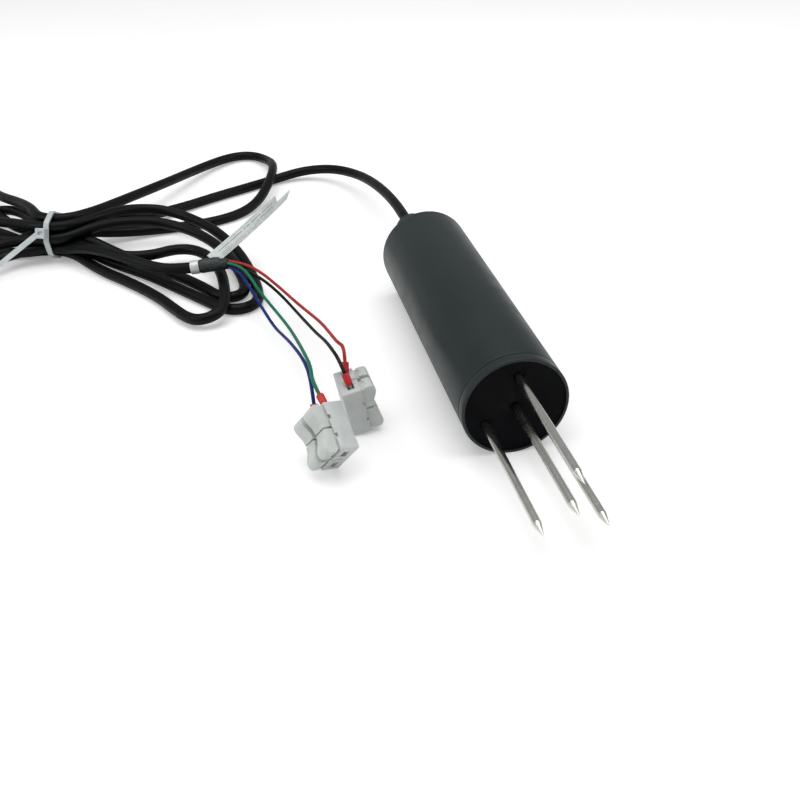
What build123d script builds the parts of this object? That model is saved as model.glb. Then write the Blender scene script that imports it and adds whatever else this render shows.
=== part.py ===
from build123d import *
import os
from math import cos, radians, sin, tan

os.makedirs("parts", exist_ok=True)

# Soil moisture probe lying on a bench, needles towards +X, cable leaving towards -X.
# Millimetres. The origin is on the bench, under the middle of the probe without its cable.

# ---- driving dimensions ----
BODY_D = 40.0
AXIS_Z = BODY_D / 2
HOUSING_LENGTH = 129.0
HEAD_LENGTH = 4.0
WALL = 3.0
REAR_WALL = 4.0
SEAM = 0.3
NEEDLE_D = 3.0
NEEDLE_LENGTH = 60.0
NEEDLE_CONE = 6.0
NEEDLE_SHANK_D = 3.6
NEEDLE_RING_R = 12.5
GLAND_LENGTH = 27.0
CABLE_D = 5.2
CORE_D = 1.4

PROBE_LENGTH = GLAND_LENGTH + HOUSING_LENGTH + HEAD_LENGTH + NEEDLE_LENGTH
GLAND_END_X = -PROBE_LENGTH / 2
REAR_X = GLAND_END_X + GLAND_LENGTH
SEAM_X = REAR_X + HOUSING_LENGTH
FACE_X = SEAM_X + HEAD_LENGTH
TIP_X = FACE_X + NEEDLE_LENGTH


def along_x(x):
    """A sketch plane square to the probe's axis, with its own X across (+Y) and Y up (+Z)."""
    return Plane(origin=(x, 0, AXIS_Z), x_dir=(0, 1, 0), z_dir=(1, 0, 0))


def save(piece, name):
    """Label a finished solid and write it as its own STEP file."""
    piece.label = name
    export_step(piece, f"parts/{name}.step")


# ---- housing and head ----
BORE_D = BODY_D - 2 * WALL
GLAND_THREAD_D = 12.0
with BuildPart() as housing_shell:
    with BuildSketch(along_x(REAR_X)):
        Circle(BODY_D / 2)
    extrude(amount=HOUSING_LENGTH - SEAM)
    with BuildSketch(along_x(REAR_X + REAR_WALL)):
        Circle(BORE_D / 2)
    extrude(amount=HOUSING_LENGTH, mode=Mode.SUBTRACT)
    with BuildSketch(along_x(REAR_X)):
        Circle(GLAND_THREAD_D / 2)
    extrude(amount=REAR_WALL, mode=Mode.SUBTRACT)
    fillet(housing_shell.edges().filter_by(GeomType.CIRCLE).sort_by(Axis.X).group_by(SortBy.RADIUS)[-1]
           .sort_by(Axis.X)[0], 2.0)
save(housing_shell.part, "housing_shell")

SPIGOT_D = BORE_D - 0.1
SPIGOT_LENGTH = 12.0
RING_GROOVE_X = SEAM_X - 6.5
O_RING_D = 2.0
LIP = 1.2
FACE_DEPTH = 0.8
ROOT_DEPTH = 0.6
NEEDLE_SPOTS = [(0.0, 0.0)] + [
    (NEEDLE_RING_R * cos(radians(a)), NEEDLE_RING_R * sin(radians(a))) for a in (89, 209, 329)]
with BuildPart() as probe_head:
    with BuildSketch(along_x(SEAM_X)):
        Circle(BODY_D / 2)
    extrude(amount=HEAD_LENGTH)
    fillet(probe_head.edges().filter_by(GeomType.CIRCLE).sort_by(Axis.X)[-1], 0.5)
    with BuildSketch(along_x(SEAM_X - SPIGOT_LENGTH)):
        Circle(SPIGOT_D / 2)
    extrude(amount=SPIGOT_LENGTH)
    with BuildSketch(along_x(FACE_X - FACE_DEPTH)):
        Circle(BODY_D / 2 - LIP)
    extrude(amount=FACE_DEPTH, mode=Mode.SUBTRACT)
    with BuildSketch(along_x(RING_GROOVE_X)):
        Circle(SPIGOT_D / 2)
        Circle(BORE_D / 2 - O_RING_D, mode=Mode.SUBTRACT)
    extrude(amount=O_RING_D + 0.4, mode=Mode.SUBTRACT)
    with BuildSketch(along_x(FACE_X - FACE_DEPTH)):
        with Locations(*NEEDLE_SPOTS):
            Circle(NEEDLE_SHANK_D / 2 + 0.4)
    extrude(amount=-ROOT_DEPTH, mode=Mode.SUBTRACT)
    with BuildSketch(along_x(SEAM_X - SPIGOT_LENGTH)):
        with Locations(*NEEDLE_SPOTS):
            Circle(NEEDLE_SHANK_D / 2)
    extrude(amount=SPIGOT_LENGTH + HEAD_LENGTH, mode=Mode.SUBTRACT)
save(probe_head.part, "probe_head")

with BuildPart() as head_o_ring:
    with BuildSketch(Plane.XZ):
        with Locations((RING_GROOVE_X + 1.2, AXIS_Z + BORE_D / 2 - O_RING_D / 2)):
            Circle(O_RING_D / 2)
    revolve(axis=Axis((0, 0, AXIS_Z), (1, 0, 0)))
save(head_o_ring.part, "head_o_ring")

# ---- needles: a cone-pointed rod, a thicker shank that the head grips, and a thin tail to solder ----
PROBE_BOARD_X = SEAM_X - 24.0
BOARD_T = 1.6
TAIL_D = 1.6
TAIL_X = PROBE_BOARD_X - 1.2
NEEDLE_BACK_X = PROBE_BOARD_X + BOARD_T + 0.4
SHANK_END_X = FACE_X - FACE_DEPTH - ROOT_DEPTH
for needle_name, (across, up) in zip(("centre", "upper", "left", "right"), NEEDLE_SPOTS):
    with BuildPart() as needle:
        with BuildSketch(Plane.XZ.offset(-across)):
            with BuildLine():
                base_z = AXIS_Z + up
                Polyline((TAIL_X, base_z), (TAIL_X, base_z + TAIL_D / 2),
                         (NEEDLE_BACK_X, base_z + TAIL_D / 2), (NEEDLE_BACK_X, base_z + NEEDLE_SHANK_D / 2),
                         (SHANK_END_X, base_z + NEEDLE_SHANK_D / 2), (SHANK_END_X, base_z + NEEDLE_D / 2),
                         (TIP_X - NEEDLE_CONE, base_z + NEEDLE_D / 2), (TIP_X - 0.2, base_z + 0.15),
                         (TIP_X, base_z), (TAIL_X, base_z))
            make_face()
        revolve(axis=Axis((0, across, AXIS_Z + up), (1, 0, 0)))
    save(needle.part, f"needle_{needle_name}")

# ---- circuit boards and what is soldered to them ----
with BuildPart() as probe_board:
    with BuildSketch(along_x(PROBE_BOARD_X)):
        Circle(BORE_D / 2 - 0.8)
        with Locations(*NEEDLE_SPOTS):
            Circle(TAIL_D / 2, mode=Mode.SUBTRACT)
    extrude(amount=BOARD_T)
save(probe_board.part, "probe_board")

MAIN_BOARD_LENGTH = 72.0
MAIN_BOARD_W = 26.0
MAIN_BOARD_Z = AXIS_Z - 3.5
MAIN_BOARD_TOP = MAIN_BOARD_Z + BOARD_T
main_board_x = PROBE_BOARD_X - MAIN_BOARD_LENGTH / 2
with BuildPart() as main_board:
    with BuildSketch(Plane.XY.offset(MAIN_BOARD_Z)):
        with Locations((main_board_x, 0)):
            Rectangle(MAIN_BOARD_LENGTH, MAIN_BOARD_W)
    extrude(amount=BOARD_T)
save(main_board.part, "main_board")

# name: (distance behind the probe board, across, length, width, height)
BOARD_BLOCKS = {
    "shield_can": (15.0, 0.0, 20.0, 16.0, 4.0),
    "controller_chip": (34.0, 3.0, 9.0, 9.0, 1.4),
    "line_driver_chip": (50.0, -5.0, 5.0, 6.2, 1.6),
    "wire_header": (66.0, 0.0, 6.0, 14.0, 7.0),
}
for block_name, (behind, across, length, width, height) in BOARD_BLOCKS.items():
    with BuildPart() as block:
        with BuildSketch(Plane.XY.offset(MAIN_BOARD_TOP)):
            with Locations((PROBE_BOARD_X - behind, across)):
                RectangleRounded(length, width, 0.5)
        extrude(amount=height)
    save(block.part, block_name)

CAPACITOR_D = 6.3
with BuildPart() as capacitor:
    with BuildSketch(Plane.XY.offset(MAIN_BOARD_TOP)):
        with Locations((PROBE_BOARD_X - 50.0, 6.0)):
            Circle(CAPACITOR_D / 2)
    extrude(amount=7.5)
    fillet(capacitor.edges().filter_by(GeomType.CIRCLE).sort_by(Axis.Z)[-1], 0.5)
save(capacitor.part, "capacitor")

# ---- resin that seals the needle roots behind the head ----
with BuildPart() as potting_disc:
    with BuildSketch(along_x(NEEDLE_BACK_X)):
        Circle(BORE_D / 2)
        with Locations(*NEEDLE_SPOTS):
            Circle(NEEDLE_SHANK_D / 2, mode=Mode.SUBTRACT)
    extrude(amount=SEAM_X - SPIGOT_LENGTH - NEEDLE_BACK_X)
save(potting_disc.part, "potting_disc")

# ---- cable gland ----
GLAND_HEX = 15.0
WASHER_T = 1.2
FLANGE_T = 5.0
LOCKNUT_T = 4.0
NUT_D = 15.6
THREAD_OUT = 8.0
SEAL_D = 9.0
flange_x = REAR_X - WASHER_T
nut_x = flange_x - FLANGE_T
with BuildPart() as gland_washer:
    with BuildSketch(along_x(flange_x)):
        Circle(8.2)
        Circle(GLAND_THREAD_D / 2, mode=Mode.SUBTRACT)
    extrude(amount=WASHER_T)
save(gland_washer.part, "gland_washer")

with BuildPart() as gland_body:
    with BuildSketch(along_x(nut_x)):
        RegularPolygon(GLAND_HEX / 2, 6, major_radius=False)
    extrude(amount=FLANGE_T)
    with BuildSketch(along_x(nut_x - THREAD_OUT)):
        Circle(GLAND_THREAD_D / 2)
    extrude(amount=THREAD_OUT + FLANGE_T + WASHER_T + REAR_WALL + LOCKNUT_T + 1.0)
    with BuildSketch(along_x(nut_x - THREAD_OUT)):
        Circle(SEAL_D / 2)
    extrude(amount=THREAD_OUT, mode=Mode.SUBTRACT)
    with BuildSketch(along_x(nut_x)):
        Circle(CABLE_D / 2 + 0.5)
    extrude(amount=40.0, mode=Mode.SUBTRACT)
save(gland_body.part, "gland_body")

with BuildPart() as gland_locknut:
    with BuildSketch(along_x(REAR_X + REAR_WALL)):
        RegularPolygon(GLAND_HEX / 2, 6, major_radius=False)
        Circle(GLAND_THREAD_D / 2, mode=Mode.SUBTRACT)
    extrude(amount=LOCKNUT_T)
save(gland_locknut.part, "gland_locknut")

with BuildPart() as gland_seal:
    with BuildSketch(along_x(nut_x - THREAD_OUT - 2.0)):
        Circle(SEAL_D / 2 - 0.05)
        Circle(CABLE_D / 2, mode=Mode.SUBTRACT)
    extrude(amount=THREAD_OUT + 1.5)
save(gland_seal.part, "gland_seal")

DOME_R = 2.2
DOME_DROP = 1.8
dome_x = GLAND_END_X + DOME_R
with BuildPart() as gland_nut:
    with BuildSketch(Plane.XZ):
        with BuildLine():
            Line((nut_x, AXIS_Z), (nut_x, AXIS_Z + NUT_D / 2))
            Line((nut_x, AXIS_Z + NUT_D / 2), (dome_x, AXIS_Z + NUT_D / 2))
            RadiusArc((dome_x, AXIS_Z + NUT_D / 2), (GLAND_END_X, AXIS_Z + NUT_D / 2 - DOME_DROP), -DOME_R)
            Line((GLAND_END_X, AXIS_Z + NUT_D / 2 - DOME_DROP), (GLAND_END_X, AXIS_Z))
            Line((GLAND_END_X, AXIS_Z), (nut_x, AXIS_Z))
        make_face()
    revolve(axis=Axis((0, 0, AXIS_Z), (1, 0, 0)))
    with BuildSketch(along_x(nut_x - 9.0)):
        with PolarLocations(NUT_D / 2 + 0.35, 6):
            Rectangle(1.2, 5.4)
    extrude(amount=9.0, mode=Mode.SUBTRACT)
    with BuildSketch(along_x(nut_x - THREAD_OUT - 2.2)):
        Circle(GLAND_THREAD_D / 2)
    extrude(amount=THREAD_OUT + 2.2, mode=Mode.SUBTRACT)
    with BuildSketch(along_x(GLAND_END_X)):
        Circle(CABLE_D / 2)
    extrude(amount=GLAND_LENGTH, mode=Mode.SUBTRACT)
save(gland_nut.part, "gland_nut")

INNER_CABLE_END_X = REAR_X + 22.0
with BuildPart() as cable_inner:
    with BuildSketch(along_x(GLAND_END_X)):
        Circle(CABLE_D / 2)
    extrude(amount=INNER_CABLE_END_X - GLAND_END_X)
save(cable_inner.part, "cable_inner")


# ---- free cable: routes are straight runs joined by tangent arcs ----
def corner_radii(route):
    """The largest arc each corner can take: 0.45 of the shorter run over tan(half the turn)."""
    radii = []
    for before, here, after in zip(route[:-2], route[1:-1], route[2:]):
        arriving = Vector(*here) - Vector(*before)
        leaving = Vector(*after) - Vector(*here)
        half_turn = radians(arriving.get_angle(leaving) / 2)
        radii.append(0.45 * min(arriving.length, leaving.length) / tan(half_turn))
    return radii


def cord_run(name, route, diameter):
    """The centre line of a cord; prints its tightest bend and its length."""
    radii = corner_radii(route)
    run = FilletPolyline(*route, radius=radii)
    print(f"{name}: radii {[round(r, 1) for r in radii]}, tightest {min(radii) / diameter:.1f} diameters, "
          f"length {run.length:.0f} mm")
    return run


LEAD_ROUTE = [
    (GLAND_END_X, 0, AXIS_Z), (-134, 0, AXIS_Z), (-162, -1.5, 18), (-188, -4, 14.6), (-210, -8.5, 11.2),
    (-230, -19, 8), (-238.5, -35, 5.0), (-234, -52, 3.0), (-226, -68, 2.7), (-215, -88, 2.8),
    (-203.5, -107, 2.8), (-191, -125, 4.6),
]
lead_run = cord_run("cable_lead", LEAD_ROUTE, CABLE_D)
with BuildPart() as cable_lead:
    with BuildSketch(Plane(origin=lead_run @ 0, z_dir=lead_run % 0)):
        Circle(CABLE_D / 2)
    sweep(path=lead_run)
save(cable_lead.part, "cable_lead")

# ---- hank: its tied waist, the turns fanning out on both sides, and the one wide back turn ----
TIE_X = -159.0
TIE_Y = -172.0
TIE_ANGLE = 17.0
BUNDLE_D = 21.6
STRAP_T = 1.2
STRAP_W = 2.6
BUNDLE_Z = STRAP_T + BUNDLE_D / 2
FAN_H = 16.0
FRONT_FAN_H = 9.4
BACK_TURN_H = 12.0
tie_plane = Plane(origin=(TIE_X, TIE_Y, BUNDLE_Z),
                  x_dir=(cos(radians(TIE_ANGLE)), -sin(radians(TIE_ANGLE)), 0),
                  z_dir=(sin(radians(TIE_ANGLE)), cos(radians(TIE_ANGLE)), 0))
INNER_FAN = [(-168, -166), (-176, -140), (-190, -118), (-188, -84), (-150, -82), (-118, -78), (-118, -147),
             (-144, -172)]
FRONT_FAN = [(-120, -78), (-84, -74), (-72, -86), (-61, -97), (-62, -112), (-100, -133), (-120, -148)]
BACK_TURN = [(-166, -162), (-202, -136), (-246, -108), (-270, -90), (-283, -72), (-281, -56), (-266, -50),
             (-240, -47.5), (-222, -50), (-196, -61), (-180, -80), (-172, -120)]
BACK_TURN_HOLE = [(-192, -132), (-240, -99), (-262, -84), (-271, -72), (-269, -63), (-252, -58), (-228, -60),
                  (-203, -71), (-190, -86)]
LEFT_FAN = [(-170, -178), (-192, -187), (-218, -196), (-247, -199), (-257, -209), (-257, -236), (-242, -247),
            (-212, -250), (-186, -254), (-160, -254), (-138, -248), (-129, -230), (-131, -214), (-143, -200),
            (-149, -190), (-152, -183)]
with BuildPart() as cable_hank:
    for outline, height in ((INNER_FAN, FAN_H), (FRONT_FAN, FRONT_FAN_H), (BACK_TURN, BACK_TURN_H),
                            (LEFT_FAN, FAN_H)):
        with BuildSketch():
            with BuildLine():
                Polyline(*outline, close=True)
            turns = make_face()
            fillet(turns.vertices(), 3.0)
        extrude(amount=height)
    with BuildSketch():
        with BuildLine():
            Polyline(*BACK_TURN_HOLE, close=True)
        hole = make_face()
        fillet(hole.vertices(), 3.0)
    extrude(amount=BACK_TURN_H, mode=Mode.SUBTRACT)
    with BuildSketch(tie_plane.offset(-14)):
        Circle(BUNDLE_D / 2)
    extrude(amount=28)
save(cable_hank.part, "cable_hank")

# ---- cable end: white band, shrink sleeve and the boot that the four cores leave ----
SLEEVE_START = Vector(-103.6, -107.2, 12.9)
SLEEVE_DIR = Vector(0.13, 0.984, 0.12).normalized()
BAND_LENGTH = 4.0
BAND_D = 6.4
SLEEVE_D = 6.8
SLEEVE_LENGTH = 9.4
CABLE_INSIDE = 12.0
BOOT_LENGTH = 6.0
BOOT_DIR = Vector(0.42, 0.90, 0.10).normalized()


def past_band(distance):
    """A plane square to the cable's end, this far past the start of its white band."""
    return Plane(origin=SLEEVE_START + SLEEVE_DIR * distance, x_dir=(1, 0, 0), z_dir=SLEEVE_DIR)


tail_end = SLEEVE_START + SLEEVE_DIR * CABLE_INSIDE
TAIL_ROUTE = [(-133, -150, 13.2), (-118, -137, 13.2), (-105, -118, 11.6), tuple(tail_end)]
tail_run = cord_run("cable_tail", TAIL_ROUTE, CABLE_D)
with BuildPart() as cable_tail:
    with BuildSketch(Plane(origin=tail_run @ 0, z_dir=tail_run % 0)):
        Circle(CABLE_D / 2)
    sweep(path=tail_run)
save(cable_tail.part, "cable_tail")

with BuildPart() as cable_band:
    with BuildSketch(past_band(0)):
        Circle(BAND_D / 2)
        Circle(CABLE_D / 2, mode=Mode.SUBTRACT)
    extrude(amount=BAND_LENGTH)
save(cable_band.part, "cable_band")

with BuildPart() as shrink_sleeve:
    with BuildSketch(past_band(BAND_LENGTH + 0.4)):
        Circle(SLEEVE_D / 2)
        Circle(CABLE_D / 2, mode=Mode.SUBTRACT)
    extrude(amount=SLEEVE_LENGTH)
    fillet(shrink_sleeve.edges().filter_by(GeomType.CIRCLE).group_by(SortBy.RADIUS)[-1], 0.4)
save(shrink_sleeve.part, "shrink_sleeve")

boot_start = Plane(origin=tail_end, x_dir=(1, 0, 0), z_dir=BOOT_DIR)
boot_end = boot_start.offset(BOOT_LENGTH)
with BuildPart() as shrink_boot:
    with BuildSketch(boot_start):
        Circle(CABLE_D / 2)
    with BuildSketch(boot_end):
        Circle(CABLE_D / 2 - 0.25)
    loft()
save(shrink_boot.part, "shrink_boot")

# ---- flag label: a thin strip that stands up from the sleeve and leans back over the hank ----
LABEL_W = 6.5
LABEL_T = 0.4
label_root = SLEEVE_START + SLEEVE_DIR * 10.0 + Vector(0, 0, SLEEVE_D / 2 + 0.5)
label_tip = Vector(-141.5, -57.6, 30.0)
LABEL_ACROSS = Vector(0.52, 0.68, -0.52)
label_dir = label_tip - label_root
with BuildPart() as label_flag:
    with BuildSketch(Plane(origin=label_root, x_dir=label_dir, z_dir=label_dir.cross(LABEL_ACROSS))):
        with BuildLine():
            length = label_dir.length
            Polyline((0, -LABEL_W / 2), (length, -LABEL_W / 2), (length - 11, LABEL_W / 2), (0, LABEL_W / 2),
                     close=True)
        make_face()
    extrude(amount=LABEL_T / 2, both=True)
save(label_flag.part, "label_flag")

# ---- cable tie: strap round the waist, head on its upper front, tail standing off down and aside ----
with BuildPart() as tie_strap:
    with BuildSketch(tie_plane.offset(-STRAP_W / 2)):
        Circle(BUNDLE_D / 2 + STRAP_T)
        Circle(BUNDLE_D / 2, mode=Mode.SUBTRACT)
    extrude(amount=STRAP_W)
save(tie_strap.part, "tie_strap")

HEAD_ALONG = 4.6
HEAD_ROUND = 5.0
HEAD_OUT = 4.2
HEAD_ANGLE = -26.0
HEAD_SHIFT = -1.0
TIE_TAIL_T = 1.0
TIE_TAIL_ACROSS = Vector(0.54, 0.62, -0.57)
TIE_TAIL_END = Vector(-132.0, -201.0, 7.0)
head_seat = Plane(tie_plane.location * Location((0, 0, HEAD_SHIFT), (0, 0, HEAD_ANGLE))
                  * Location((BUNDLE_D / 2 + STRAP_T, 0, 0)))
tie_tail_start = head_seat.from_local_coords((HEAD_OUT / 2, 0, -HEAD_ALONG / 2 + 1.0))
tie_tail_dir = TIE_TAIL_END - tie_tail_start
with BuildPart() as tie_head:
    with Locations(head_seat.location):
        Box(HEAD_OUT, HEAD_ROUND, HEAD_ALONG, align=(Align.MIN, Align.CENTER, Align.CENTER))
    fillet(tie_head.edges(), 0.5)
    with BuildSketch(Plane(origin=tie_tail_start, x_dir=TIE_TAIL_ACROSS, z_dir=tie_tail_dir)):
        Rectangle(STRAP_W, TIE_TAIL_T)
    extrude(amount=tie_tail_dir.length)
save(tie_head.part, "tie_head")


# ---- lever connectors: a local frame at each one's middle, X along the wires, Z towards the levers ----
CONN_L = 19.0
POLE_PITCH = 8.3
CONN_H = 12.8
BLOCK_H = 7.4
GROOVE_W = 0.5
GROOVE_DEPTH = 5.0
CHANNEL_W = 3.6
CHANNEL_H = 2.6
CHANNEL_Z = -2.3
POCKET_W = 6.6
POCKET_FLOOR_Z = -0.6
LEVER_W = 6.2
HINGE_X = 1.0
HINGE_Z = 0.2
HINGE_PIN_D = 1.0
HINGE_PIN_L = 7.4
LEVER_GAP = 0.3
LEVER_END = CONN_L / 2 - 0.2
BLOCK_TOP_Z = -CONN_H / 2 + BLOCK_H
WAIST_Z = 4.3
SHELF_Z = BLOCK_TOP_Z + 1.2

CONNECTOR_SEATS = {
    "front": Plane(origin=(43.0, -67.8, 13.4), x_dir=(0.828, 0.190, -0.527), z_dir=(0.370, -0.892, 0.259)),
    "rear": Plane(origin=(19.0, -50.8, 10.7), x_dir=(0.009, 0.195, -0.981), z_dir=(-0.044, 0.980, 0.194)),
}
POLES = {"a": -POLE_PITCH / 2, "b": POLE_PITCH / 2}


def inside(seat, x=0.0, y=0.0, z=0.0, square_to="z"):
    """A plane in a connector's own frame, at x, y, z and square to one of its axes."""
    turn = {"x": (90, 90, 0), "y": (90, 0, 0), "z": (0, 0, 0)}[square_to]
    return Plane(seat.location * Location((x, y, z)) * Location((0, 0, 0), turn, Intrinsic.XYZ))


def build_connector(end_name, seat):
    """Housing, two spring clips and four press levers of one two-pole connector."""
    with BuildPart() as shell:
        with BuildSketch(inside(seat, z=-CONN_H / 2)):
            RectangleRounded(CONN_L, 2 * POLE_PITCH, 0.8)
        extrude(amount=BLOCK_H)
        with BuildSketch(inside(seat, z=BLOCK_TOP_Z)):
            Rectangle(CONN_L, GROOVE_W)
        extrude(amount=-GROOVE_DEPTH, mode=Mode.SUBTRACT)
        for y in POLES.values():
            with BuildSketch(inside(seat, y=y, z=CHANNEL_Z - CHANNEL_H / 2)):
                Rectangle(CONN_L, CHANNEL_W)
            extrude(amount=CHANNEL_H, mode=Mode.SUBTRACT)
            with BuildSketch(inside(seat, y=y, z=BLOCK_TOP_Z)):
                Rectangle(CONN_L - 1.4, POCKET_W)
            extrude(amount=POCKET_FLOOR_Z - BLOCK_TOP_Z, mode=Mode.SUBTRACT)
            for side in (-1, 1):
                with Locations(inside(seat, side * HINGE_X, y, HINGE_Z, "y").location):
                    Cylinder(HINGE_PIN_D / 2 + 0.05, HINGE_PIN_L + 0.1, mode=Mode.SUBTRACT)
    save(shell.part, f"connector_{end_name}_shell")
    for pole, y in POLES.items():
        build_clip(f"clip_{end_name}_{pole}", seat, y)
        for way, side in (("in", -1), ("out", 1)):
            build_lever(f"lever_{end_name}_{pole}_{way}", seat, y, side)


def build_clip(name, seat, y):
    """Sprung steel strip on the channel's floor with a tongue bent up at each end."""
    floor_z = CHANNEL_Z - CHANNEL_H / 2
    with BuildPart() as clip:
        with BuildSketch(inside(seat, y=y + 1.5, square_to="y")):
            with BuildLine():
                Polyline((-6.4, floor_z), (6.4, floor_z), (3.2, floor_z + 2.0), (2.8, floor_z + 1.8),
                         (5.1, floor_z + 0.4), (-5.1, floor_z + 0.4), (-2.8, floor_z + 1.8),
                         (-3.2, floor_z + 2.0), close=True)
            make_face()
        extrude(amount=3.0)
    save(clip.part, name)


def build_lever(name, seat, y, side):
    """Press lever: its hinge pin by the waist, its thumb bulge over the wire's entry."""
    with BuildPart() as lever:
        with BuildSketch(inside(seat, y=y + LEVER_W / 2, square_to="y")):
            with BuildLine():
                Polyline((side * LEVER_GAP, WAIST_Z), (side * LEVER_GAP, -0.35), (side * 1.9, -0.35),
                         (side * (LEVER_END - 0.7), 0.6), (side * (LEVER_END - 0.7), SHELF_Z),
                         (side * LEVER_END, SHELF_Z),
                         (side * LEVER_END, 4.4))
                ThreePointArc((side * LEVER_END, 4.4), (side * 8.1, 6.05), (side * 6.2, 6.15))
                ThreePointArc((side * 6.2, 6.15), (side * 3.2, 4.8), (side * LEVER_GAP, WAIST_Z))
            make_face()
        extrude(amount=LEVER_W)
        fillet(lever.edges().filter_by(lambda edge: edge.geom_type == GeomType.CIRCLE), 0.5)
        with Locations(inside(seat, side * HINGE_X, y, HINGE_Z, "y").location):
            Cylinder(HINGE_PIN_D / 2, HINGE_PIN_L)
    save(lever.part, name)


for end_name, seat in CONNECTOR_SEATS.items():
    build_connector(end_name, seat)

# ---- cores and their crimped ferrules ----
COLLAR_D = 2.9
COLLAR_LENGTH = 4.6
COLLAR_GAP = 0.3
PIN_D = 1.1
PIN_IN = 1.6

# name: (connector, pole, way the ferrule points out of the entry, route from the boot to the ferrule)
CORES = {
    "red": ("rear", "b", (-0.62, 0.10, 0.78),
            [(-96, -83.5, 16.2), (-89, -76.8, 15.0), (-76, -70.2, 13.4), (-54, -63.2, 14.0),
             (-28, -57.8, 19.3), (-11, -56.6, 23.6), (1.5, -55.6, 26.2)]),
    "black": ("rear", "a", (-0.65, -0.25, 0.71),
              [(-95.6, -84.4, 13.8), (-87, -76.4, 12.4), (-72, -69.4, 10.9), (-47, -63.9, 12.6),
               (-20, -60.6, 18.6), (-5, -59.2, 23.6), (8, -58.4, 26.8)]),
    "green": ("front", "b", (-0.80, -0.30, 0.52),
              [(-94.5, -84.6, 15.6), (-86.5, -81.4, 13.9), (-74, -78.6, 12.4), (-58, -73.6, 10.8),
               (-38, -70, 13.0), (-14, -69.2, 20.0), (6, -68.6, 25.0), (18, -68.2, 26.9)]),
    "blue": ("front", "a", (-0.57, 0.0, 0.82),
             [(-94.4, -86, 13.4), (-87, -83.8, 12.2), (-77, -81.8, 11.6), (-64, -78.6, 9.2), (-48, -75, 7.6),
              (-32, -73, 12.4), (-17, -71.6, 17.4), (0, -69.8, 21.6),
              (12, -69.2, 24.2), (20.5, -69.2, 25.2)]),
}
CORE_EXITS = {"red": (-0.95, -0.95), "black": (-0.95, 0.95), "green": (0.95, -0.95), "blue": (0.95, 0.95)}
for core_name, (end_name, pole, outward, middle) in CORES.items():
    seat = CONNECTOR_SEATS[end_name]
    entry = seat.from_local_coords((-CONN_L / 2, POLES[pole], CHANNEL_Z))
    outward = Vector(*outward).normalized()
    core_end = entry + outward * (COLLAR_LENGTH + COLLAR_GAP)
    route = [tuple(boot_end.from_local_coords((*CORE_EXITS[core_name], 0))), *middle,
             tuple(core_end + outward * 6.0), tuple(core_end)]
    run = cord_run(f"core_{core_name}", route, CORE_D)
    with BuildPart() as core:
        with BuildSketch(Plane(origin=run @ 0, z_dir=run % 0)):
            Circle(CORE_D / 2)
        sweep(path=run)
    save(core.part, f"core_{core_name}")
    with BuildPart() as ferrule:
        with BuildSketch(Plane(origin=core_end, z_dir=-outward)):
            Circle(COLLAR_D / 2)
        with BuildSketch(Plane(origin=core_end - outward * COLLAR_LENGTH * 0.75, z_dir=-outward)):
            Circle(COLLAR_D / 2)
        with BuildSketch(Plane(origin=core_end - outward * COLLAR_LENGTH, z_dir=-outward)):
            Circle(PIN_D / 2 + 0.3)
        loft(ruled=True)
        with BuildSketch(Plane(origin=core_end - outward * (COLLAR_LENGTH - 0.2), z_dir=-outward)):
            Circle(PIN_D / 2)
        extrude(amount=PIN_IN + 0.8)
    save(ferrule.part, f"ferrule_{core_name}")
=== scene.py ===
from math import cos, hypot, pi, radians, sin

import bmesh
import bpy
from mathutils import Matrix, Vector
from mathutils.geometry import convex_hull_2d


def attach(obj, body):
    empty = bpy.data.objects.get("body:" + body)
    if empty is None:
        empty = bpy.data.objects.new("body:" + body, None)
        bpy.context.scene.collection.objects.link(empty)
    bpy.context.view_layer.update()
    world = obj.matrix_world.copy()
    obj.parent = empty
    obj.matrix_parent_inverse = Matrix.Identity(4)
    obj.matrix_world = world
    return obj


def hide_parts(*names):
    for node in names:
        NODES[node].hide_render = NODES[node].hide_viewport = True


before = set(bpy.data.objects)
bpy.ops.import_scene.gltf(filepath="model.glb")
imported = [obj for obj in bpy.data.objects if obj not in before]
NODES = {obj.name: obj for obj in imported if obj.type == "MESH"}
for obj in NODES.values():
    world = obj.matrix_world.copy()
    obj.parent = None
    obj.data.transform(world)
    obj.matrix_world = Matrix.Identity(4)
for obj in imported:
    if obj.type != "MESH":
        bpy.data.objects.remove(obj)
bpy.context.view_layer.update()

MM = 0.001
SCENE = bpy.context.scene

# ---------------------------------------------------------------- driving dimensions, as in part.py (mm)
BODY_R = 20.0
AXIS_Z = 20.0
GLAND_END_X = -110.0
REAR_X = -83.0
SEAM_X = 46.0
FACE_X = 50.0
TIP_X = 110.0
SEAM = 0.3
NEEDLE_RING_R = 12.5
NEEDLE_SPOTS = {"centre": (0.0, 0.0)}
for spot_name, spot_angle in (("upper", 89), ("left", 209), ("right", 329)):
    NEEDLE_SPOTS[spot_name] = (NEEDLE_RING_R * cos(radians(spot_angle)),
                               NEEDLE_RING_R * sin(radians(spot_angle)))
CABLE_D = 5.2
CABLE_R = CABLE_D / 2
CORE_D = 1.4

# the camera, fitted to the outline of the housing and the needles (m)
LENS_MM = 42.83
CAMERA_PLACE = (0.3117, -0.1024, 0.2111)
CAMERA_FORWARD = (-0.8074, 0.1857, -0.5601)


# ---------------------------------------------------------------- camera
def aim(obj, forward, up=Vector((0, 0, 1))):
    """Turn an object so that its -Z looks along forward."""
    back = -Vector(forward).normalized()
    right = up.cross(back).normalized()
    obj.rotation_mode = "QUATERNION"
    obj.rotation_quaternion = Matrix((right, back.cross(right), back)).transposed().to_quaternion()


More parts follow.
